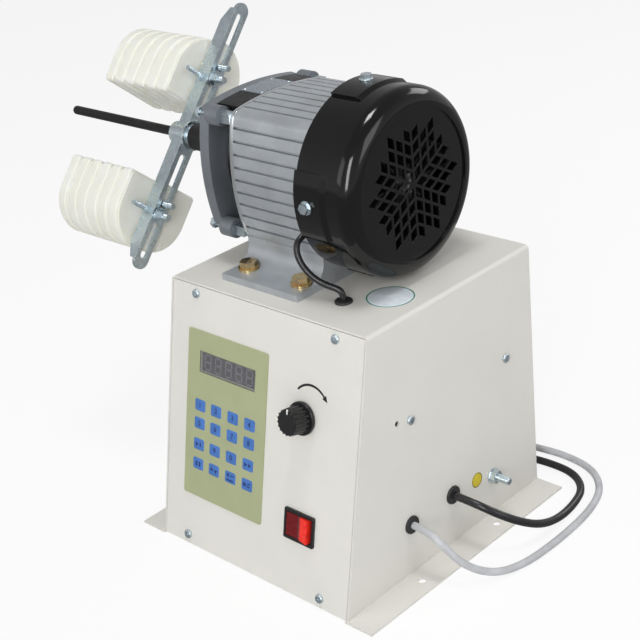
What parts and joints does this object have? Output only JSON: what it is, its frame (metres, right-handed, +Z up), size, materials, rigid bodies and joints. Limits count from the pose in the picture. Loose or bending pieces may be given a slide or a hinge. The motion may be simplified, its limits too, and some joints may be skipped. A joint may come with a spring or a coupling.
{
  "type": "wire coil winding machine",
  "caption": "Bench coil winder: a brake motor on a sheet-steel control cabinet turns a slotted arm with adjustable grooved half-round formers, set by keypad and speed knob.",
  "frame": {"origin": "on the bench plane under the motor axis, at mid width of the cabinet", "axes": "+X along the motor axis towards the fan cover, +Y to the back of the cabinet, +Z up"},
  "size_m": [0.5065, 0.3619, 0.3859],
  "materials": {
    "cabinet": "fine textured cream powder coat",
    "inner_sheet": "zinc plated sheet",
    "zinc": "bright zinc plate",
    "yellow_zinc": "yellow zinc plate",
    "housing": "die-cast, satin",
    "end_plate": "cast, grey",
    "black_gloss": "glossy black paint",
    "black_metal": "satin black",
    "black_plastic": "satin black",
    "rubber": "matt black",
    "grey_pvc": "pale grey flexible sheath",
    "membrane": "printed polyester film",
    "window": "smoked clear plastic",
    "board": "circuit board",
    "core": "laminated steel and windings",
    "shaft": "ground steel",
    "rocker": "translucent red",
    "nylon": "cast nylon, off white",
    "label": "bare foil plate"
  },
  "bodies": {
    "cabinet": {"cabinet_cover": "cabinet", "front_panel": "cabinet", "rear_panel": "cabinet", "base_plate": "inner_sheet", "cross_rails": "inner_sheet", "electronics_tray": "inner_sheet", "transformer": "core", "control_board": "board", "display_board": "board", "panel_screws": "zinc", "rear_screws": "zinc", "side_screws": "zinc", "earth_stud": "zinc", "side_grommets": "rubber", "top_grommet": "rubber", "lead_gland": "rubber", "keypad_membrane": "membrane", "display_window": "window", "pot_body": "black_plastic", "pot_nut": "zinc", "switch_body": "black_plastic", "motor_housing": "housing", "foot_bolts": "yellow_zinc", "stator": "core", "motor_bearings": "shaft", "output_bearing": "shaft", "front_shield": "end_plate", "rear_shield": "end_plate", "front_plate": "end_plate", "spacer_posts": "zinc", "tie_bolts": "zinc", "brake_guard": "black_metal", "brake_body": "black_metal", "nameplate": "label", "fan_cover": "black_gloss", "cover_screws": "zinc", "motor_lead": "rubber", "mains_lead": "rubber", "mains_coil": "rubber", "mains_plug": "rubber", "pedal_lead": "grey_pvc", "pedal_coil": "grey_pvc", "pedal_connector": "black_plastic"},
    "spindle": {"rotor_shaft": "shaft", "cooling_fan": "black_plastic", "brake_armature": "core", "output_collar": "black_metal", "spindle_hub": "zinc", "guide_rod": "black_metal", "winding_arm": "zinc", "jam_screws": "zinc"},
    "upper_slide": {"upper_former": "nylon", "upper_clamp_set": "zinc"},
    "lower_slide": {"lower_former": "nylon", "lower_clamp_set": "zinc"},
    "speed_control": {"speed_knob": "black_plastic", "knob_cap": "black_plastic", "pot_shaft": "shaft"},
    "power_rocker": {"switch_rocker": "rocker"}
  },
  "joints": [
    {"name": "spindle_spin", "type": "hinge", "parent": "cabinet", "child": "spindle", "pos_m": [0, 0, 0.291], "axis": [1, 0, 0], "continuous": true},
    {"name": "upper_former_slide", "type": "slide", "parent": "spindle", "child": "upper_slide", "axis": [0, 0.6428, 0.766], "range_m": [-0.012, 0.046]},
    {"name": "lower_former_slide", "type": "slide", "parent": "spindle", "child": "lower_slide", "axis": [0, 0.6428, 0.766], "range_m": [-0.034, 0.034]},
    {"name": "speed_knob_turn", "type": "hinge", "parent": "cabinet", "child": "speed_control", "pos_m": [0.0464, -0.11381, 0.14118], "axis": [0, -0.9753, 0.221], "range_deg": [-150, 150]},
    {"name": "rocker_tilt", "type": "hinge", "parent": "cabinet", "child": "power_rocker", "pos_m": [0.04955, -0.13103, 0.05613], "axis": [0, 0.221, 0.9753], "range_deg": [0, 14]}
  ]
}
